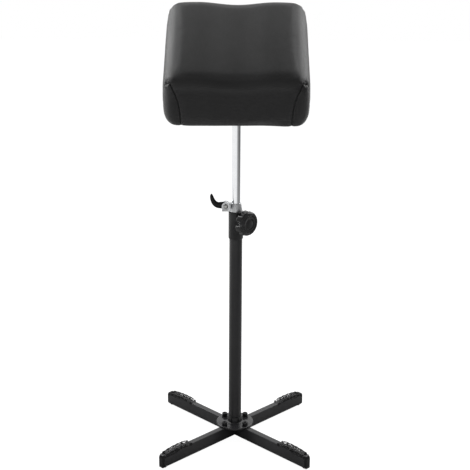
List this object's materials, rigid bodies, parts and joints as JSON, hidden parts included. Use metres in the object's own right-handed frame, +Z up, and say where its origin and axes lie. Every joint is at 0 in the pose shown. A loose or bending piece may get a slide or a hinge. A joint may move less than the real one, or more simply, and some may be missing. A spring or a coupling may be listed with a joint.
{
  "type": "arm rest stand",
  "caption": "Free-standing arm rest with a saddle-shaped leather pad that tilts on a chrome rod, which slides and turns in a black pole on an X-shaped base",
  "frame": {"origin": "On the floor, at the centre of the stand's footprint in X and Y. +Z is up and the user sits towards -Y.", "axes": "X runs across the pad from the user's left to right, Y from the user to the far side, Z up."},
  "size_m": [0.3464, 0.3656, 1.0358],
  "materials": {
    "powder_black": "Semi-gloss black powder coat on steel tube",
    "hub_black": "Satin black powder coat on steel plate",
    "black_steel": "Black-oxide socket screws",
    "cap_black": "Glossy black moulded plastic",
    "knob_black": "Black moulded thermoset with a soft shine",
    "button_black": "Matt black press-in button",
    "sleeve_black": "Satin black moulded nylon",
    "bush_white": "Natural white acetal",
    "rubber_black": "Black rubber",
    "rod_chrome": "Polished chrome plate",
    "clamp_silver": "Die-cast aluminium, tumbled bright",
    "zinc_steel": "Bright zinc-plated steel",
    "brass": "Turned brass",
    "friction_brown": "Brown friction fibre",
    "leather_black": "Black faux leather with a fine grain",
    "foam_cream": "Cream upholstery foam",
    "cloth_grey": "Dark woven dust cloth",
    "board_ply": "Birch plywood"
  },
  "bodies": {
    "stand": {"leg_beam_lower": "powder_black", "leg_beam_upper": "powder_black", "foot_cap_front_left": "cap_black", "foot_cap_front_right": "cap_black", "foot_cap_back_left": "cap_black", "foot_cap_back_right": "cap_black", "foot_pad_front_left": "rubber_black", "foot_pad_front_right": "rubber_black", "foot_pad_back_left": "rubber_black", "foot_pad_back_right": "rubber_black", "hub_flange": "hub_black", "hub_screws": "black_steel", "leg_thread_inserts": "zinc_steel", "pole": "powder_black", "pole_sleeve": "sleeve_black", "guide_bush": "bush_white", "knob_thread_insert": "brass", "clamp_collar": "clamp_silver", "clamp_nut": "zinc_steel", "clamp_washer": "zinc_steel"},
    "clamp_arm": {"clamp_lever": "clamp_silver", "clamp_screw": "zinc_steel", "lever_grip": "knob_black"},
    "lock_pad": {"lock_pressure_pad": "bush_white"},
    "lock_handle": {"lock_stud": "zinc_steel", "lock_knob": "knob_black", "lock_knob_cap": "button_black"},
    "rod_glide": {"rod_glide_plug": "bush_white"},
    "rod_assembly": {"rod": "rod_chrome", "rod_head": "hub_black", "rod_head_pin": "zinc_steel"},
    "pad_head": {"tilt_bracket": "hub_black", "tilt_bolt": "zinc_steel", "friction_washers": "friction_brown", "tilt_washer": "zinc_steel", "bracket_screws": "zinc_steel", "pad_tee_nuts": "zinc_steel", "pad_board": "board_ply", "pad_foam": "foam_cream", "pad_cover": "leather_black", "gusset_front_left": "leather_black", "gusset_front_right": "leather_black", "gusset_back_left": "leather_black", "gusset_back_right": "leather_black", "dust_cloth": "cloth_grey", "cover_staples": "zinc_steel"},
    "tilt_handle": {"tilt_knob": "knob_black", "tilt_knob_insert": "brass"}
  },
  "joints": [
    {"name": "height_slide", "type": "slide", "parent": "stand", "child": "rod_glide", "axis": [0, 0, 1], "range_m": [-0.18, 0.15]},
    {"name": "rod_swivel", "type": "hinge", "parent": "rod_glide", "child": "rod_assembly", "pos_m": [0, 0.0096, 0.3], "axis": [0, 0, 1], "continuous": true},
    {"name": "pad_tilt", "type": "hinge", "parent": "rod_assembly", "child": "pad_head", "pos_m": [0, 0.0096, 0.8385], "axis": [1, 0, 0], "range_deg": [-47, 13]},
    {"name": "tilt_knob_turn", "type": "hinge", "parent": "pad_head", "child": "tilt_handle", "pos_m": [0.02, 0.0096, 0.8385], "axis": [1, 0, 0], "range_deg": [0, 360]},
    {"name": "clamp_lever_turn", "type": "hinge", "parent": "stand", "child": "clamp_arm", "pos_m": [-0.0234, 0.0096, 0.5835], "axis": [0, 1, 0], "range_deg": [-90, 15]},
    {"name": "lock_pad_travel", "type": "slide", "parent": "stand", "child": "lock_pad", "axis": [0.7071, -0.7071, 0], "range_m": [0, 0.003]},
    {"name": "lock_knob_turn", "type": "hinge", "parent": "lock_pad", "child": "lock_handle", "pos_m": [0.02121, -0.01162, 0.5465], "axis": [0.7071, -0.7071, 0], "range_deg": [0, 720]}
  ],
  "couplings": [
    {"joint": "lock_knob_turn", "follows": "lock_pad_travel", "rad_per_m": 4188.8}
  ]
}
